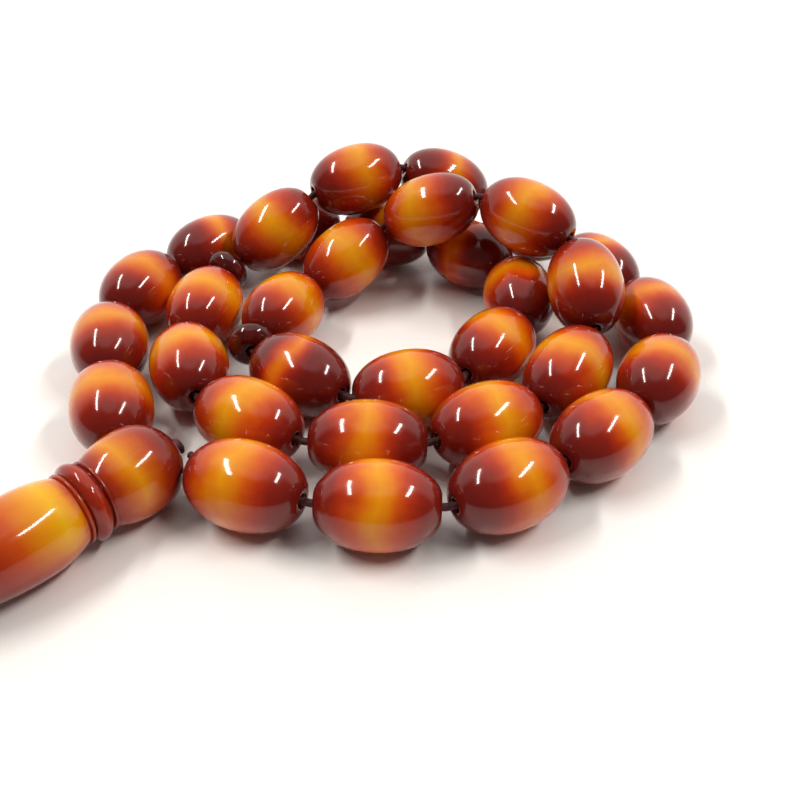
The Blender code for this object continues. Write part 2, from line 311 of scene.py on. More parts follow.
def twisted_tube(path, radius, sides, plies, pitch, depth, ends_close=True):
    """Rings of points round a path. The radius dips between the plies: the dip is one less the
    unsigned cosine of the angle times half the number of plies, and takes off at most the given
    depth as a share of the radius. The dips turn round the path once every pitch. The first and
    last rings shrink to a blunt tip. Also gives each point's length along, its angle and its
    depth in the groove."""
    tangents = np.gradient(path, axis=0)
    tangents /= np.linalg.norm(tangents, axis=1, keepdims=True)
    side, up = frames_along(tangents)
    steps = np.linalg.norm(np.diff(path, axis=0), axis=1)
    along = np.concatenate([[0.0], np.cumsum(steps)])[:, None]
    angle = np.linspace(0.0, 2 * np.pi, sides, endpoint=False)[None, :]
    groove = 1.0 - np.abs(np.cos(plies / 2 * (angle - 2 * np.pi * along / pitch)))
    ring = radius * (1.0 - depth * groove)
    if ends_close:
        ring[[0, -1]] *= TIP_SHRINK[0]
        ring[[1, -2]] *= TIP_SHRINK[1]
    points = (path[:, None] + (ring * np.cos(angle))[..., None] * side[:, None]
              + (ring * np.sin(angle))[..., None] * up[:, None])
    about = np.stack(np.broadcast_arrays(along, angle, groove), axis=-1)
    return points, about


# Waxed polyester thread: dull, deep maroon, with painted shade in the grooves between its plies, and
# fine filaments that run with the twist. The filaments are drawn three times too coarse, so as to
# show.
THREAD_LIGHT = "#6a1712"
THREAD_DARK = "#2c0807"
FILAMENT = 0.12
FILAMENT_SLANT = -2.4  # turn of the filaments round the string, in radians per mm
FILAMENT_SHADE = 0.14
GROOVE_PAINTED_SHADE = -0.7  # painted shade in a groove between the plies
THREAD_BUMP = 0.03

thread, thread_out = finish("waxed_polyester_thread")
thread_about = node(
    thread, "ShaderNodeAttribute", attribute_type="GEOMETRY", attribute_name="thread_about"
)
thread_parts = node(thread, "ShaderNodeSeparateXYZ", {0: thread_about.outputs["Vector"]})
thread_slant = node(
    thread, "ShaderNodeMath",
    {0: thread_parts.outputs["X"], 1: FILAMENT_SLANT, 2: thread_parts.outputs["Y"]},
    operation="MULTIPLY_ADD",
)
thread_lines = node(
    thread, "ShaderNodeMath",
    {0: thread_slant.outputs[0], 1: STRING_DIAMETER / 2 / FILAMENT * 2 * math.pi},
    operation="MULTIPLY",
)
thread_wave = node(
    thread, "ShaderNodeMath", {0: thread_lines.outputs[0]}, operation="SINE"
)
thread_fuzz = node(
    thread, "ShaderNodeTexNoise",
    {"Vector": thread_about.outputs["Vector"], "Scale": 1.8, "Detail": 4.0},
)
thread_shade = node(
    thread, "ShaderNodeMath",
    {0: thread_wave.outputs[0], 1: FILAMENT_SHADE, 2: thread_fuzz.outputs["Fac"]},
    operation="MULTIPLY_ADD",
)
# painted shade: the grooves between the plies are drawn darker
thread_groove_painted_shade = node(
    thread, "ShaderNodeMath",
    {0: thread_parts.outputs["Z"], 1: GROOVE_PAINTED_SHADE, 2: thread_shade.outputs[0]},
    operation="MULTIPLY_ADD",
)
thread_colour = node(
    thread, "ShaderNodeValToRGB", {"Fac": thread_groove_painted_shade.outputs[0]},
    stops=[(0.1, THREAD_DARK), (0.75, THREAD_LIGHT)],
)
thread_bump = node(
    thread, "ShaderNodeBump",
    {"Height": thread_wave.outputs[0], "Strength": 0.25, "Distance": THREAD_BUMP * MM},
)
thread_shader = node(
    thread, "ShaderNodeBsdfPrincipled",
    {
        "Base Color": thread_colour.outputs["Color"],
        "Roughness": 0.62,
        "Sheen Weight": 0.12,
        "Sheen Roughness": 0.4,
        "Sheen Tint": linear("#b05058"),
        "Normal": thread_bump.outputs[0],
    },
)
thread.node_tree.links.new(thread_shader.outputs[0], thread_out.inputs["Surface"])

resting = np.array([0.0, 0.0, BEAD_DIAMETER / 2])
leader_axis = axis_of("leader_spin")
leader_pivot = place_of("leader_lift")


def string_end(side):
    """The string's last two points, on one side of the leader's axis behind its tip."""
    turn = -side * math.radians(STRING_END_SPREAD)
    away = -leader_axis
    away = np.array([away[0] * math.cos(turn) - away[1] * math.sin(turn),
                     away[0] * math.sin(turn) + away[1] * math.cos(turn),
                     -math.tan(math.radians(STRING_END_DROP))])
    away /= np.linalg.norm(away)
    start = leader_pivot + away * STRING_END_GAP
    return [start, start + away * STRING_DIAMETER]


def strand_names():
    """Names of the beads and dividers in the order in which the string meets them."""
    names = []
    for number in range(1, BEAD_COUNT + 1):
        names.append(f"bead_{number:02d}")
        if number % GROUP == 0 and number < BEAD_COUNT:
            names.append(f"divider_{number // GROUP}")
    return names


string_corners = string_end(1)
string_corners += [coil_middle + resting + point for point in np.array(OUT_OF_LEADER)]
for strung in strand_names():
    strung_length = BEAD_LENGTH if strung.startswith("bead") else DIVIDER_LENGTH
    mouth = axis_of(strung + "_spin") * strung_length / 2
    string_corners += [place_of(strung + "_spin") - mouth, place_of(strung + "_spin") + mouth]
string_corners += [coil_middle + resting + point for point in np.array(INTO_LEADER)]
string_corners += string_end(-1)[::-1]

string_path = eased(string_corners, STRING_STEP, STRING_EASE)
string_points, string_about = twisted_tube(
    string_path, STRING_DIAMETER / 2, STRING_SIDES, STRING_PLIES, PLY_PITCH, PLY_DEPTH
)
string = piece(
    "string_loop_thread", string_points,
    grid_faces(*string_points.shape[:2], False, True), thread, {"thread_about": string_about},
)
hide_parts("string_loop")
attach(string, "string")

# --- Beads ------------------------------------------------------------------------------------
# Thirty-three ovals turned from a rod of two-coloured cast resin, bored along the axis and
# polished. The amber middle runs into maroon at both ends, a little differently in every bead.

BEAD_END_DIAMETER = 3.2
BORE_DIAMETER = 1.5
FULLNESS = 2.1  # exponent of the oval: 2 is an ellipse, more is fuller
EDGE_ROUND = 0.3
BEAD_SIDES = 96
BEAD_RINGS = 44  # from the middle to one end
# Each bead's amber band: its shift along the bore in mm, its width and its glow. Beads 8, 28 and 29
# lie deep in the coil: their narrow bands without glow are partly the resin's maroon, partly painted
# shade.
BANDS = {
    1: (-0.3, 1.05, 0.45), 2: (0.0, 0.95, 0.5), 3: (0.8, 0.95, 0.3), 4: (0.6, 0.95, 0.4),
    5: (0.4, 0.9, 0.3), 6: (0.0, 0.85, 0.1), 7: (0.3, 0.8, 0.1), 8: (0.0, 0.6, 0.0),
    9: (0.2, 0.75, 0.25), 10: (-0.2, 1.0, 0.35), 11: (-0.3, 1.05, 0.75), 12: (0.2, 1.05, 0.7),
    13: (0.0, 1.0, 0.55), 14: (0.3, 1.1, 0.9), 15: (0.0, 0.9, 0.35), 16: (0.3, 1.15, 0.85),
    17: (0.0, 0.95, 0.5), 18: (0.0, 0.9, 0.3), 19: (-0.2, 1.05, 0.55), 20: (1.2, 1.1, 0.75),
    21: (0.0, 1.1, 0.8), 22: (0.0, 1.05, 0.65), 23: (0.0, 0.5, 0.0), 24: (0.0, 1.0, 0.55),
    25: (0.0, 0.95, 0.3), 26: (0.2, 0.9, 0.2), 27: (0.6, 0.6, 0.0), 28: (0.0, 0.5, 0.0),
    29: (0.0, 0.55, 0.0), 30: (-0.6, 0.65, 0.1), 31: (0.0, 0.85, 0.15), 32: (0.0, 0.9, 0.25),
    33: (0.2, 0.95, 0.35),
}


def bend(start, corner, end, count):
    """A quadratic curve from start to end that is pulled towards the corner."""
    t = np.linspace(0.0, 1.0, count)[:, None]
    start, corner, end = (np.array(point) for point in (start, corner, end))
    return (1 - t) ** 2 * start + 2 * t * (1 - t) * corner + t**2 * end


def oval(offset, reach_at, widest, end_radius):
    """Radius at an offset from the widest place: an oval of the given fullness that has the end
    radius at the offset reach_at."""
    reach = reach_at / (1.0 - (end_radius / widest) ** FULLNESS) ** (1.0 / FULLNESS)
    return widest * (1.0 - (np.abs(offset) / reach) ** FULLNESS) ** (1.0 / FULLNESS)


def threaded_profile(length, diameter, end_diameter, rings):
    """Closed outline (x, radius) of a bored oval: out along one half, round the edge, across
    the flat end, into the bore and back, then the same mirrored."""
    half = length / 2
    end = end_diameter / 2
    bore = BORE_DIAMETER / 2
    x = (half - EDGE_ROUND) * np.sin(np.linspace(0.0, np.pi / 2, rings))
    outer = np.stack([x, oval(x, half, diameter / 2, end)], axis=1)
    edge = bend(outer[-1], (half, end), (half, end - EDGE_ROUND), 8)[1:]
    mouth = bend((half, bore + EDGE_ROUND), (half, bore), (half - EDGE_ROUND, bore), 7)
    wall = np.stack([np.linspace(half - EDGE_ROUND, 0.0, 8), np.full(8, bore)], axis=1)[1:]
    right = np.concatenate([outer, edge, mouth, wall])
    left = right[::-1][1:-1] * [-1.0, 1.0]
    return np.concatenate([right, left])


def spun(profile, sides, middle, axis):
    """Turns an outline (x, radius) round an axis through a point. Gives the points in place and
    the same points as they lie in the piece's own frame, x along the axis."""
    angle = np.linspace(0.0, 2 * np.pi, sides, endpoint=False)
    x = np.broadcast_to(profile[:, :1], (len(profile), sides))
    own = np.stack([x, profile[:, 1:] * np.cos(angle), profile[:, 1:] * np.sin(angle)], axis=-1)
    side, up = frames_along(axis)
    return middle + own @ np.stack([axis, side, up]), own


# Cast polyester resin in two colours, turned and polished: a glassy skin over soft-edged colour
# with some depth. The colours meet in a cloudy edge some 2 mm wide, and were drawn out along the
# rod into streaks about half a millimetre apart. A darker and a brighter row of the colours are
# mixed by the clouds and by how far a side lies upwards at rest: painted light above, painted shade
# below.
# The first row is the resin's amber and the painted shade of its lower side, the second its glow and
# the painted light of its upper side.
AMBER_AND_SHADED_STOPS = [(0.0, "#d25a07"), (0.14, "#c84a06"), (0.3, "#b83307"), (0.47, "#9c220c"),
               (0.68, "#811d12"), (1.0, "#6c1812")]
GLOW_AND_LIT_STOPS = [(0.0, "#e69a08"), (0.18, "#e18406"), (0.34, "#d25a07"), (0.52, "#b3320a"),
              (0.72, "#891f0f"), (1.0, "#6e1811")]
PAINTED_LIGHT_UPWARD = 0.5  # painted light that the side lying upwards at rest gains, and painted shade that the one below it loses
GLOW_CLOUD = 0.9  # from the dullest patch to the brightest
CLOUD_WIDTH = 5.0
STREAK_WIDTH = 0.55
STREAK_STRETCH = 8.0  # a streak's length as a share of its width
BAND_WANDER = 1.6  # how far the clouds move the band's edge either way
BAND_FRAY = 0.25  # how far the streaks do
CLOUD_BUMP = 0.4  # of the clouds' faint unevenness in the polish
BAND_SPREAD = (37.0, 53.0, 71.0)  # shift in the noise for each unit of a bead's band values
RESIN_ROUGHNESS = 0.22  # of the colour below the glassy skin
POLISH = (0.04, 0.13)  # roughness of the skin, from the smoothest streaks to the dullest

resin, resin_out = finish("polished_two_colour_cast_resin")
resin_place = node(
    resin, "ShaderNodeAttribute", attribute_type="GEOMETRY", attribute_name="bead_place"
)
resin_mood = node(
    resin, "ShaderNodeAttribute", attribute_type="GEOMETRY", attribute_name="bead_band"
)
resin_along = node(resin, "ShaderNodeSeparateXYZ", {0: resin_place.outputs["Vector"]})
resin_band = node(resin, "ShaderNodeSeparateXYZ", {0: resin_mood.outputs["Vector"]})
# each bead's band values also move it through the noise, so that no two beads are alike
resin_spread = node(
    resin, "ShaderNodeVectorMath",
    {0: resin_mood.outputs["Vector"], 1: BAND_SPREAD, 2: resin_place.outputs["Vector"]},
    operation="MULTIPLY_ADD",
)
resin_cloud = node(
    resin, "ShaderNodeTexNoise",
    {"Vector": resin_spread.outputs[0], "Scale": 1.0 / CLOUD_WIDTH, "Detail": 2.0},
)
resin_stretch = node(
    resin, "ShaderNodeMapping",
    {"Vector": resin_spread.outputs[0], "Scale": (1.0 / STREAK_STRETCH, 1.0, 1.0)},
)
resin_streak = node(
    resin, "ShaderNodeTexNoise",
    {"Vector": resin_stretch.outputs[0], "Scale": 1.0 / STREAK_WIDTH, "Detail": 3.0},
)
resin_shifted = node(
    resin, "ShaderNodeMath",
    {0: resin_along.outputs["X"], 1: resin_band.outputs["X"]}, operation="SUBTRACT",
)
resin_wander = node(
    resin, "ShaderNodeMapRange",
    {"Value": resin_cloud.outputs["Fac"], "To Min": -BAND_WANDER, "To Max": BAND_WANDER},
)
resin_moved = node(
    resin, "ShaderNodeMath", {0: resin_shifted.outputs[0], 1: resin_wander.outputs[0]},
)
resin_away = node(
    resin, "ShaderNodeMath", {0: resin_moved.outputs[0]}, operation="ABSOLUTE"
)
resin_share = node(
    resin, "ShaderNodeMath",
    {0: resin_away.outputs[0], 1: resin_band.outputs["Y"]}, operation="DIVIDE",
)
resin_drawn = node(
    resin, "ShaderNodeMapRange",
    {"Value": resin_streak.outputs["Fac"], "To Min": -BAND_FRAY, "To Max": BAND_FRAY},
)
resin_mixed = node(
    resin, "ShaderNodeMath", {0: resin_share.outputs[0], 1: resin_drawn.outputs[0]},
)
resin_scaled = node(
    resin, "ShaderNodeMath", {0: resin_mixed.outputs[0], 1: 2 / BEAD_LENGTH},
    operation="MULTIPLY",
)
resin_amber_and_shaded = node(
    resin, "ShaderNodeValToRGB", {"Fac": resin_scaled.outputs[0]}, stops=AMBER_AND_SHADED_STOPS
)
resin_glow_and_lit = node(
    resin, "ShaderNodeValToRGB", {"Fac": resin_scaled.outputs[0]}, stops=GLOW_AND_LIT_STOPS
)
# painted light and shade: the upper side at rest turns towards the brighter row, the lower side
# towards the darker
resin_painted_light_upward = node(
    resin, "ShaderNodeMath",
    {
        0: resin_along.outputs["Z"],
        1: PAINTED_LIGHT_UPWARD * 2 / BEAD_DIAMETER,
        2: resin_band.outputs["Z"],
    },
    operation="MULTIPLY_ADD",
)
resin_patchy = node(
    resin, "ShaderNodeMapRange",
    {"Value": resin_cloud.outputs["Fac"], "To Min": -GLOW_CLOUD / 2, "To Max": GLOW_CLOUD / 2},
)
resin_glow_and_light_share = node(
    resin, "ShaderNodeMath",
    {0: resin_painted_light_upward.outputs[0], 1: resin_patchy.outputs[0]}, use_clamp=True,
)
resin_colour = node(
    resin, "ShaderNodeMix",
    {0: resin_glow_and_light_share.outputs[0], 6: resin_amber_and_shaded.outputs[0], 7: resin_glow_and_lit.outputs[0]},
    data_type="RGBA",
)
resin_polish = node(
    resin, "ShaderNodeMapRange",
    {"Value": resin_streak.outputs["Fac"], "To Min": POLISH[0], "To Max": POLISH[1]},
)
resin_bump = node(
    resin, "ShaderNodeBump",
    {"Height": resin_cloud.outputs["Fac"], "Strength": 0.12, "Distance": CLOUD_BUMP * MM},
)
resin_shader = node(
    resin, "ShaderNodeBsdfPrincipled",
    {
        "Base Color": resin_colour.outputs[2],
        "Roughness": RESIN_ROUGHNESS,
        "Specular IOR Level": 0.06,
        "Coat Weight": 1.0,
        "Coat Roughness": resin_polish.outputs[0],
        "Coat IOR": 1.46,
        "Subsurface Weight": 0.12,
        "Subsurface Radius": (1.4, 0.25, 0.03),
        "Subsurface Scale": 0.001,
        "Normal": resin_bump.outputs[0],
    },
)
resin.node_tree.links.new(resin_shader.outputs[0], resin_out.inputs["Surface"])

bead_profile = threaded_profile(BEAD_LENGTH, BEAD_DIAMETER, BEAD_END_DIAMETER, BEAD_RINGS)
bead_faces = grid_faces(len(bead_profile), BEAD_SIDES, True, True)
for number in range(1, BEAD_COUNT + 1):
    band = np.array(BANDS[number])
    bead_name = f"bead_{number:02d}"
    bead_points, bead_own = spun(
        bead_profile, BEAD_SIDES, place_of(bead_name + "_spin"), axis_of(bead_name + "_spin")
    )
    bead = piece(
        bead_name + "_resin", bead_points, bead_faces, resin,
        {"bead_place": bead_own, "bead_band": np.broadcast_to(band, bead_own.shape)},
    )
    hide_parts(bead_name)
    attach(bead, bead_name)

# --- Dividers ---------------------------------------------------------------------------------
# Two small saucers of plain dark resin, turned and polished like the beads and threaded after
# every eleventh bead.

DIVIDER_DIAMETER = 6.0
DIVIDER_SIDES = 72
DIVIDER_STOPS = [(0.3, "#3d0b0b"), (0.7, "#641512")]

dark_resin, dark_resin_out = finish("polished_dark_cast_resin")
dark_place = node(
    dark_resin, "ShaderNodeAttribute", attribute_type="GEOMETRY", attribute_name="bead_place"
)
dark_cloud = node(
    dark_resin, "ShaderNodeTexNoise",
    {"Vector": dark_place.outputs["Vector"], "Scale": 0.5, "Detail": 3.0},
)
dark_colour = node(
    dark_resin, "ShaderNodeValToRGB", {"Fac": dark_cloud.outputs["Fac"]}, stops=DIVIDER_STOPS
)
dark_polish = node(
    dark_resin, "ShaderNodeMapRange",
    {"Value": dark_cloud.outputs["Fac"], "To Min": 0.06, "To Max": 0.16},
)
dark_shader = node(
    dark_resin, "ShaderNodeBsdfPrincipled",
    {
        "Base Color": dark_colour.outputs[0],
        "Roughness": dark_polish.outputs[0],
        "IOR": 1.56,
    },
)
dark_resin.node_tree.links.new(dark_shader.outputs[0], dark_resin_out.inputs["Surface"])

divider_profile = threaded_profile(DIVIDER_LENGTH, DIVIDER_DIAMETER, BEAD_END_DIAMETER, 20)
for divider_name in ("divider_1", "divider_2"):
    divider_points, divider_own = spun(
        divider_profile, DIVIDER_SIDES,
        place_of(divider_name + "_spin"), axis_of(divider_name + "_spin"),
    )
    divider = piece(
        divider_name + "_resin", divider_points,
        grid_faces(len(divider_profile), DIVIDER_SIDES, True, True), dark_resin,
        {"bead_place": divider_own},
    )
    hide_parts(divider_name)
    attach(divider, divider_name)

# --- Leader -----------------------------------------------------------------------------------
# One long piece turned from the same two-coloured resin: a barrel head, a waist with a rounded
# collar between two fine ridges, a longer body and a small foot. Both string ends run through it.

TIP_DIAMETER = 4.0
HEAD_DIAMETER = 9.8
HEAD_LENGTH = 9.8
HEAD_WIDEST = 4.65  # distance from the tip
WAIST_DIAMETER = 7.6
COLLAR_LENGTH = 2.7
COLLAR_DIAMETER = 8.8
RIDGE_WIDTH = 0.36
RIDGE_RISE = 0.2
RIDGE_POWER = 0.7
GROOVE_WIDTH = 0.22
GROOVE_DEPTH = 0.28
BODY_LENGTH = 15.5
BODY_DIAMETER = 9.4
BODY_WIDEST = 5.0  # distance from the collar
NECK_DIAMETER = 4.4
FOOT_LENGTH = 2.8
FOOT_DIAMETER = 5.6
FOOT_END_DIAMETER = 4.0
LEADER_BORE = 2.5
LEADER_SIDES = 144
PIVOT_GAP = 0.7  # from the leader's tip to the point it lifts about


def swell(start, widest, end, radii, count):
    """Points (x, radius) along an oval that is widest in between. radii are those at the
    start, the widest place and the end."""
    x = start + (end - start) * (0.5 - 0.5 * np.cos(np.linspace(0.0, np.pi, count)))
    before = oval(np.minimum(x - widest, 0.0), widest - start, radii[1], radii[0])
    after = oval(np.maximum(x - widest, 0.0), end - widest, radii[1], radii[2])
    return np.stack([x, np.where(x < widest, before, after)], axis=1)


def ridge(start, width, foot_radius, rise):
    """A fine round-topped ridge over half a turn. Its height is the rise times the sine of the
    turn, taken to a power under one, which makes it fuller than a sine."""
    turn = np.linspace(0.0, np.pi, 9)
    return np.stack([start + width * (0.5 - 0.5 * np.cos(turn)),
                     foot_radius + rise * np.sin(turn) ** RIDGE_POWER], axis=1)


def groove(start, width, radius, depth):
    """A fine cut with a round bottom: its depth goes with the sine of half a turn."""
    turn = np.linspace(0.0, np.pi, 7)
    return np.stack([start + width * (0.5 - 0.5 * np.cos(turn)),
                     radius - depth * np.sin(turn)], axis=1)


waist = WAIST_DIAMETER / 2
collar_start = HEAD_LENGTH
collar_end = collar_start + COLLAR_LENGTH
body_end = collar_end + BODY_LENGTH
foot_end = body_end + FOOT_LENGTH
ridge_start = collar_end - RIDGE_WIDTH
ring_start = collar_start + GROOVE_WIDTH
ring_end = ridge_start - GROOVE_WIDTH
leader_bore = LEADER_BORE / 2
leader_outline = [
    bend((EDGE_ROUND, leader_bore), (0.0, leader_bore), (0.0, leader_bore + EDGE_ROUND), 7),
    swell(0.0, HEAD_WIDEST, HEAD_LENGTH - RIDGE_WIDTH,
          (TIP_DIAMETER / 2, HEAD_DIAMETER / 2, waist), 60),
    ridge(HEAD_LENGTH - RIDGE_WIDTH, RIDGE_WIDTH, waist, RIDGE_RISE)[1:],
    groove(collar_start, GROOVE_WIDTH, waist, GROOVE_DEPTH)[1:],
    swell(ring_start, (ring_start + ring_end) / 2, ring_end,
          (waist, COLLAR_DIAMETER / 2, waist), 24)[1:],
    groove(ring_end, GROOVE_WIDTH, waist, GROOVE_DEPTH)[1:],
    ridge(ridge_start, RIDGE_WIDTH, waist, RIDGE_RISE)[1:],
    groove(collar_end, GROOVE_WIDTH, waist, GROOVE_DEPTH)[1:],
    swell(collar_end + GROOVE_WIDTH, collar_end + BODY_WIDEST, body_end,
          (waist, BODY_DIAMETER / 2, NECK_DIAMETER / 2), 70)[1:],
    swell(body_end, body_end + FOOT_LENGTH / 3, foot_end,
          (NECK_DIAMETER / 2, FOOT_DIAMETER / 2, FOOT_END_DIAMETER / 2), 24)[1:],
    bend((foot_end, leader_bore + EDGE_ROUND), (foot_end, leader_bore),
         (foot_end - EDGE_ROUND, leader_bore), 7),
    np.stack([np.linspace(foot_end - EDGE_ROUND, EDGE_ROUND, 16),
              np.full(16, leader_bore)], axis=1)[1:-1],
]
leader_profile = np.concatenate(leader_outline)

# The leader's resin is read from its tip to its foot: the head has its own amber band, the
# collar is red-brown, and the body is brightest next to the collar. A lit row of these colours is
# painted on the upper side and a shaded row on the lower side: painted light and painted shade.
LEADER_LIT_STOPS = [
    (0.0, "#5f1611"), (0.08, "#7b1d12"), (0.13, "#9c2e0c"), (0.18, "#c45c08"), (0.225, "#dc8e08"),
    (0.26, "#cf6a07"), (0.295, "#a8330b"), (0.33, "#801e12"), (0.36, "#a02a0e"), (0.40, "#8e2410"),
    (0.425, "#b8430a"), (0.455, "#e0920a"), (0.5, "#e6ac0a"), (0.56, "#dc8a08"), (0.64, "#c24a08"),
    (0.73, "#98260d"), (0.86, "#761c12"), (1.0, "#5f1611"),
]
LEADER_PAINTED_SHADE_STOPS = [
    (0.0, "#5f1611"), (0.08, "#7b1c11"), (0.14, "#9c2b0c"), (0.2, "#c45208"), (0.24, "#c24c08"),
    (0.28, "#a0280c"), (0.32, "#86200f"), (0.40, "#861f10"), (0.44, "#b0380a"), (0.49, "#c64e08"),
    (0.55, "#ae330a"), (0.63, "#92240e"), (0.8, "#701b12"), (1.0, "#581510"),
]
LEADER_WANDER = 0.9  # how far the clouds move the leader's colours either way
SHADE_START = -2.6  # height over the leader's axis where the painted shade goes over into the painted light, and where it has
SHADE_END = 2.0  # into the other, and where it has

leader_resin, leader_resin_out = finish("polished_two_colour_leader_resin")
leader_place = node(
    leader_resin, "ShaderNodeAttribute", attribute_type="GEOMETRY",
    attribute_name="leader_place",
)
leader_parts = node(leader_resin, "ShaderNodeSeparateXYZ", {0: leader_place.outputs["Vector"]})
leader_cloud = node(
    leader_resin, "ShaderNodeTexNoise",
    {"Vector": leader_place.outputs["Vector"], "Scale": 1.0 / CLOUD_WIDTH, "Detail": 2.0},
)
leader_stretch = node(
    leader_resin, "ShaderNodeMapping",
    {"Vector": leader_place.outputs["Vector"], "Scale": (1.0 / STREAK_STRETCH, 1.0, 1.0)},
)
leader_streak = node(
    leader_resin, "ShaderNodeTexNoise",
    {"Vector": leader_stretch.outputs[0], "Scale": 1.0 / STREAK_WIDTH, "Detail": 3.0},
)
leader_wander = node(
    leader_resin, "ShaderNodeMapRange",
    {"Value": leader_cloud.outputs["Fac"], "To Min": -LEADER_WANDER, "To Max": LEADER_WANDER},
)
leader_drawn = node(
    leader_resin, "ShaderNodeMath",
    {0: leader_streak.outputs["Fac"], 1: 0.5, 2: leader_wander.outputs[0]},
    operation="MULTIPLY_ADD",
)
leader_along = node(
    leader_resin, "ShaderNodeMath",
    {0: leader_parts.outputs["X"], 1: leader_drawn.outputs[0]},
)
leader_share = node(
    leader_resin, "ShaderNodeMath", {0: leader_along.outputs[0], 1: foot_end},
    operation="DIVIDE",
)
leader_painted_lit = node(
    leader_resin, "ShaderNodeValToRGB", {"Fac": leader_share.outputs[0]}, stops=LEADER_LIT_STOPS
)
leader_painted_shade = node(
    leader_resin, "ShaderNodeValToRGB", {"Fac": leader_share.outputs[0]},
    stops=LEADER_PAINTED_SHADE_STOPS,
)
leader_height = node(
    leader_resin, "ShaderNodeMath",
    {0: leader_parts.outputs["Z"], 1: leader_wander.outputs[0]},
)
# painted light and shade: the upper side takes the lit colours, the lower side the shaded ones
leader_painted_light_share = node(
    leader_resin, "ShaderNodeMapRange",
    {"Value": leader_height.outputs[0], "From Min": SHADE_START, "From Max": SHADE_END},
    interpolation_type="SMOOTHSTEP",
)
leader_colour = node(
    leader_resin, "ShaderNodeMix",
    {0: leader_painted_light_share.outputs[0], 6: leader_painted_shade.outputs[0], 7: leader_painted_lit.outputs[0]},
    data_type="RGBA",
)
leader_polish = node(
    leader_resin, "ShaderNodeMapRange",
    {"Value": leader_streak.outputs["Fac"], "To Min": POLISH[0], "To Max": POLISH[1]},
)
leader_bump = node(
    leader_resin, "ShaderNodeBump",
    {"Height": leader_cloud.outputs["Fac"], "Strength": 0.12, "Distance": CLOUD_BUMP * MM},
)
leader_shader = node(
    leader_resin, "ShaderNodeBsdfPrincipled",
    {
        "Base Color": leader_colour.outputs[2],
        "Roughness": RESIN_ROUGHNESS,
        "Specular IOR Level": 0.06,
        "Coat Weight": 1.0,
        "Coat Roughness": leader_polish.outputs[0],
        "Coat IOR": 1.46,
        "Subsurface Weight": 0.12,
        "Subsurface Radius": (1.4, 0.25, 0.03),
        "Subsurface Scale": 0.001,
        "Normal": leader_bump.outputs[0],
    },
)
leader_resin.node_tree.links.new(leader_shader.outputs[0], leader_resin_out.inputs["Surface"])

leader_points, leader_own = spun(
    leader_profile, LEADER_SIDES, leader_pivot + leader_axis * PIVOT_GAP, leader_axis
)
leader = piece(
    "leader_turned", leader_points,
    grid_faces(len(leader_profile), LEADER_SIDES, True, True), leader_resin,
    {"leader_place": leader_own},
)
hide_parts("leader")
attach(leader, "leader")

# --- Leader's cord and knot -------------------------------------------------------------------
# The two string ends, laid side by side and twisted, run through the leader. Past its foot they
# are tied in one tight knot, which holds the leader up.

CORD_DIAMETER = 1.8
KNOT_DIAMETER = 3.4
KNOT_THREAD = 0.5  # radius of the thread in the knot
CORD_SIDES = 20
CORD_PLIES = 2
CORD_PITCH = 3.4
CORD_DEPTH = 0.3  # of the groove between the two string ends, as a share of the radius
KNOT_SIDES = 14
KNOT_STEPS = 160
KNOT_PITCH = 1.6
KNOT_DEPTH = 0.14
CORD_INSET = 0.05
GAP = 0.3  # between the foot and the knot, and between the knot and the tassel's cord

knot_place = place_of("tassel_swing")
cord_length = float(np.linalg.norm(knot_place - leader_pivot)) - KNOT_DIAMETER / 4
cord_steps = np.linspace(CORD_INSET - CORD_DIAMETER / 2, cord_length, 180)[:, None]
cord_points, cord_about = twisted_tube(
    leader_pivot + cord_steps * leader_axis, CORD_DIAMETER / 2,
    CORD_SIDES, CORD_PLIES, CORD_PITCH, CORD_DEPTH,
)


def knot_path(size, count):
    """A closed overhand knot: a line that goes twice round a ring while it winds three times
    round the ring's tube. Its widest reach from the middle is the size."""
    turn = np.linspace(0.0, 2 * np.pi, count, endpoint=False)
    ring = 2.0 + np.cos(3 * turn)
    return size / 3.0 * np.stack(
        [1.6 * np.sin(3 * turn), ring * np.cos(2 * turn), ring * np.sin(2 * turn)], axis=1
    )


knot_side, knot_up = frames_along(leader_axis)
knot_line = knot_path(KNOT_DIAMETER / 2 - KNOT_THREAD, KNOT_STEPS)
knot_line = knot_place + knot_line @ np.stack([leader_axis, knot_side, knot_up])
knot_closed = np.concatenate([knot_line[-1:], knot_line, knot_line[:1]])
knot_points, knot_about = twisted_tube(
    knot_closed, KNOT_THREAD, KNOT_SIDES, STRING_PLIES, KNOT_PITCH, KNOT_DEPTH, ends_close=False
)
knot_points, knot_about = knot_points[1:-1], knot_about[1:-1]
cord_faces = grid_faces(*cord_points.shape[:2], False, True)
knot_faces = grid_faces(*knot_points.shape[:2], True, True) + cord_points[..., 0].size
leader_cord = piece(
    "leader_cord_thread",
    np.concatenate([cord_points.reshape(-1, 3), knot_points.reshape(-1, 3)]),
    np.concatenate([cord_faces, knot_faces]), thread,
    {"thread_about": np.concatenate([cord_about.reshape(-1, 3), knot_about.reshape(-1, 3)])},
)
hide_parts("leader_cord")
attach(leader_cord, "leader_cord")

# --- Tassel -----------------------------------------------------------------------------------
# Silky maroon thread: a short twisted cord, a head wound round with thread, and a skirt of many
# separate threads that spread a little as they lie on the table.

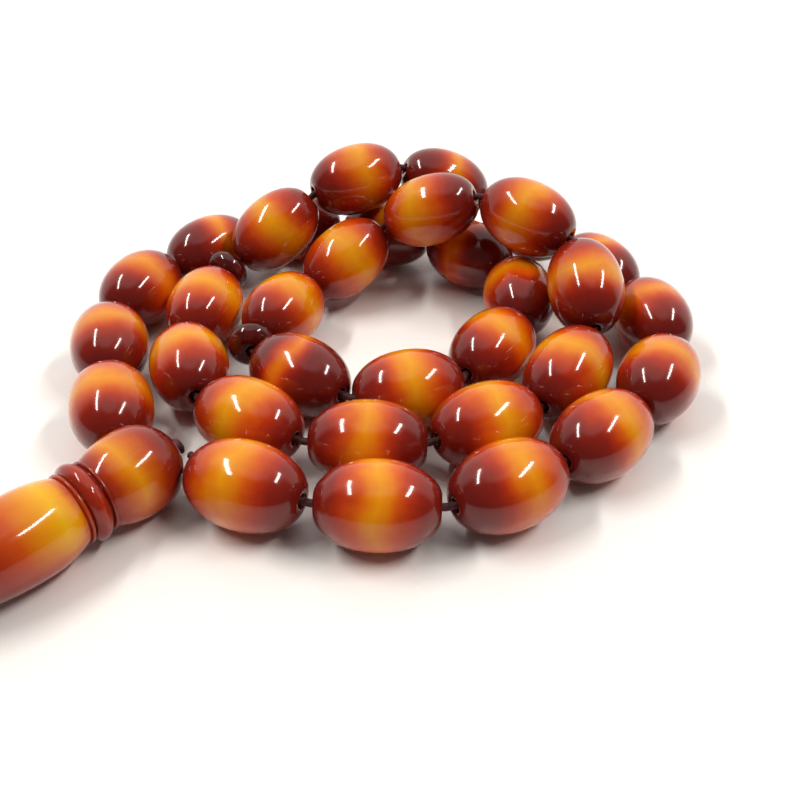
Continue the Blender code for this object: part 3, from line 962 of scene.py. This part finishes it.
TASSEL_CORD_LENGTH = 6.0
TASSEL_CORD_DIAMETER = 1.2
TASSEL_CORD_SIDES = 18
TASSEL_CORD_PITCH = 2.2
TASSEL_CORD_DEPTH = 0.32
TASSEL_HEAD_LENGTH = 7.0
TASSEL_TOP_DIAMETER = 2.4
TASSEL_HEAD_DIAMETER = 6.2
TASSEL_NECK_DIAMETER = 4.6
SKIRT_LENGTH = 26.0
SKIRT_END_DIAMETER = 6.6
TASSEL_HEAD_SIDES = 72
WINDING = 0.42  # thickness of the thread wound round the head
WINDING_DIP = 0.16  # depth of the dips between its turns
SKIRT_THREADS = 460
SKIRT_THREAD = 0.30  # thickness of each of its threads
SKIRT_STEPS = 26
SKIRT_THREAD_SIDES = 5
SKIRT_WAVE = 0.35  # how far a thread strays from its course
SKIRT_WAVE_TURN = 7.0  # radians of that wave from the neck to the end
SKIRT_UNEVEN = 0.05  # share of the length by which the shortest threads fall short
SKIRT_TIP = 0.02  # share of a thread's thickness left at its ends
SKIRT_SEED = 11

tassel_height = SKIRT_END_DIAMETER / 2
cord_share = np.linspace(0.0, 1.0, 40)[:, None]
cord_fall = (tassel_height - leader_pivot[2]) * (3 * cord_share**2 - 2 * cord_share**3)
tassel_cord_path = (
    knot_place + leader_axis * (KNOT_DIAMETER / 2 + GAP + TASSEL_CORD_LENGTH * cord_share)
    + cord_fall * np.array([0.0, 0.0, 1.0])
)
tassel_cord_points, tassel_cord_about = twisted_tube(
    tassel_cord_path, TASSEL_CORD_DIAMETER / 2,
    TASSEL_CORD_SIDES, CORD_PLIES, TASSEL_CORD_PITCH, TASSEL_CORD_DEPTH,
)
tassel_cord = piece(
    "tassel_cord_thread", tassel_cord_points,
    grid_faces(*tassel_cord_points.shape[:2], False, True), thread,
    {"thread_about": tassel_cord_about},
)
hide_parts("tassel_cord")
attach(tassel_cord, "tassel")

# Rayon floss: silkier and redder than the string, shining along the threads. On the head, the dips
# between the turns of the winding are painted darker, as painted shade.
FLOSS_STOPS = [(0.2, "#3a0a14"), (0.55, "#7a1826"), (0.9, "#a8303c")]
FLOSS_TONE_AND_DIP_SHADE = 0.55  # weight of a skirt thread's own tone, and of the painted shade in the head's dips, beside the fuzz
FLOSS_LEVEL = 0.62

floss, floss_out = finish("rayon_floss")
floss_about = node(
    floss, "ShaderNodeAttribute", attribute_type="GEOMETRY", attribute_name="floss_about"
)
floss_parts = node(floss, "ShaderNodeSeparateXYZ", {0: floss_about.outputs["Vector"]})
floss_fuzz = node(
    floss, "ShaderNodeTexNoise",
    {"Vector": floss_about.outputs["Vector"], "Scale": 0.9, "Detail": 3.0},
)
# skirt threads: each thread's own tone; head: painted shade in the dips between the turns
floss_tone_and_dip_shade = node(
    floss, "ShaderNodeMath",
    {0: floss_parts.outputs["Z"], 1: FLOSS_TONE_AND_DIP_SHADE, 2: floss_fuzz.outputs["Fac"]},
    operation="MULTIPLY_ADD",
)
floss_level = node(
    floss, "ShaderNodeMath", {0: floss_tone_and_dip_shade.outputs[0], 1: FLOSS_LEVEL}, operation="MULTIPLY"
)
floss_colour = node(
    floss, "ShaderNodeValToRGB", {"Fac": floss_level.outputs[0]}, stops=FLOSS_STOPS
)
floss_gloss = node(
    floss, "ShaderNodeMapRange",
    {"Value": floss_fuzz.outputs["Fac"], "To Min": 0.36, "To Max": 0.55},
)
floss_shader = node(
    floss, "ShaderNodeBsdfPrincipled",
    {
        "Base Color": floss_colour.outputs[0],
        "Roughness": floss_gloss.outputs[0],
        "Sheen Weight": 0.4,
        "Sheen Roughness": 0.35,
        "Sheen Tint": linear("#e08a90"),
    },
)
floss.node_tree.links.new(floss_shader.outputs[0], floss_out.inputs["Surface"])

tassel_level = np.array([1.0, 1.0, 0.0]) * knot_place + np.array([0.0, 0.0, tassel_height])
head_start = KNOT_DIAMETER / 2 + GAP + TASSEL_CORD_LENGTH + GAP
skirt_start = head_start + TASSEL_HEAD_LENGTH + GAP

# The winding: ridges one thread thick that climb the head's oval like a screw.
head_oval = swell(
    0.0, TASSEL_HEAD_LENGTH / 2, TASSEL_HEAD_LENGTH,
    (TASSEL_TOP_DIAMETER / 2, TASSEL_HEAD_DIAMETER / 2, TASSEL_NECK_DIAMETER / 2), 240,
)
head_profile = np.concatenate([[(0.0, 0.05)], head_oval, [(TASSEL_HEAD_LENGTH, 0.05)]])
head_points, head_own = spun(
    head_profile, TASSEL_HEAD_SIDES, tassel_level + leader_axis * head_start, leader_axis
)
head_angle = np.arctan2(head_own[..., 2], head_own[..., 1])
head_run = np.concatenate(
    [[0.0], np.cumsum(np.linalg.norm(np.diff(head_profile, axis=0), axis=1))]
)[:, None]
head_wave = np.abs(np.sin(np.pi * head_run / WINDING + head_angle / 2))
head_dip = (1.0 - head_wave) * WINDING_DIP
head_middle = tassel_level + leader_axis * (head_start + head_own[..., :1])
head_out = head_points - head_middle
head_radius = np.linalg.norm(head_out, axis=-1, keepdims=True)
head_points = head_middle + head_out * (1.0 - np.minimum(head_dip[..., None] / head_radius, 0.5))
# The winding's height also goes to the floss, where it paints shade into the dips between the turns.
head_about = np.stack([head_run + 0 * head_wave, head_angle, head_wave], axis=-1)
tassel_head = piece(
    "tassel_head_winding", head_points, grid_faces(*head_points.shape[:2], False, True),
    floss, {"floss_about": head_about},
)
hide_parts("tassel_head")
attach(tassel_head, "tassel")


def skirt_threads():
    """All threads at once, as a grid (thread, step, side). At the neck they fill a disc like
    the seeds of a sunflower. Towards the end each moves out in proportion, waves a little and
    settles towards the table. Every thread is a five-sided tube with its own length."""
    draw = np.random.RandomState(SKIRT_SEED)
    seed = np.arange(SKIRT_THREADS)
    disc = np.sqrt((seed + 0.5) / SKIRT_THREADS)[:, None]
    way = (seed * np.pi * (3.0 - np.sqrt(5.0)))[:, None]
    share = np.linspace(0.0, 1.0, SKIRT_STEPS)[None, :]
    neck = TASSEL_NECK_DIAMETER / 2 - SKIRT_THREAD / 2
    end = SKIRT_END_DIAMETER / 2 - SKIRT_THREAD / 2
    spread = disc * (neck + (end - neck) * np.sin(share * np.pi / 2))
    phase = draw.uniform(0.0, 2 * np.pi, (2, SKIRT_THREADS, 1))
    wave = SKIRT_WAVE * share * np.sin(share * SKIRT_WAVE_TURN + phase)
    y = spread * np.cos(way) + wave[0] * (1 - disc)
    z = spread * np.sin(way) + wave[1] * (1 - disc)
    length = SKIRT_LENGTH * (1.0 - SKIRT_UNEVEN * draw.uniform(0.0, 1.0, (SKIRT_THREADS, 1)))
    middles = np.stack([share * length, y, z], axis=-1)
    tangents = np.gradient(middles, axis=1)
    tangents /= np.linalg.norm(tangents, axis=-1, keepdims=True)
    side, up = frames_along(tangents)
    angle = np.linspace(0.0, 2 * np.pi, SKIRT_THREAD_SIDES, endpoint=False)
    thick = np.where((share == 0.0) | (share == 1.0), SKIRT_TIP, 1.0) * SKIRT_THREAD / 2
    ring = (np.cos(angle)[:, None] * side[:, :, None] + np.sin(angle)[:, None] * up[:, :, None])
    points = middles[:, :, None] + thick[..., None, None] * ring
    tone = draw.uniform(0.2, 1.0, (SKIRT_THREADS, 1, 1)) + 0 * points[..., 0]
    about = np.stack([points[..., 0], angle + 0 * tone, tone], axis=-1)
    return points, about


own_threads, skirt_about = skirt_threads()
skirt_side, skirt_up = frames_along(leader_axis)
skirt_points = (tassel_level + leader_axis * skirt_start
                + own_threads @ np.stack([leader_axis, skirt_side, skirt_up]))
skirt_points[..., 2] = np.maximum(skirt_points[..., 2], 0.0)  # the lowest lie flat on the table
one_thread = grid_faces(SKIRT_STEPS, SKIRT_THREAD_SIDES, False, True)
thread_size = SKIRT_STEPS * SKIRT_THREAD_SIDES
thread_starts = np.arange(SKIRT_THREADS)[:, None, None] * thread_size
tassel_skirt = piece(
    "tassel_skirt_threads", skirt_points, (thread_starts + one_thread).reshape(-1, 4), floss,
    {"floss_about": skirt_about},
)
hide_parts("tassel_skirt")
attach(tassel_skirt, "tassel")
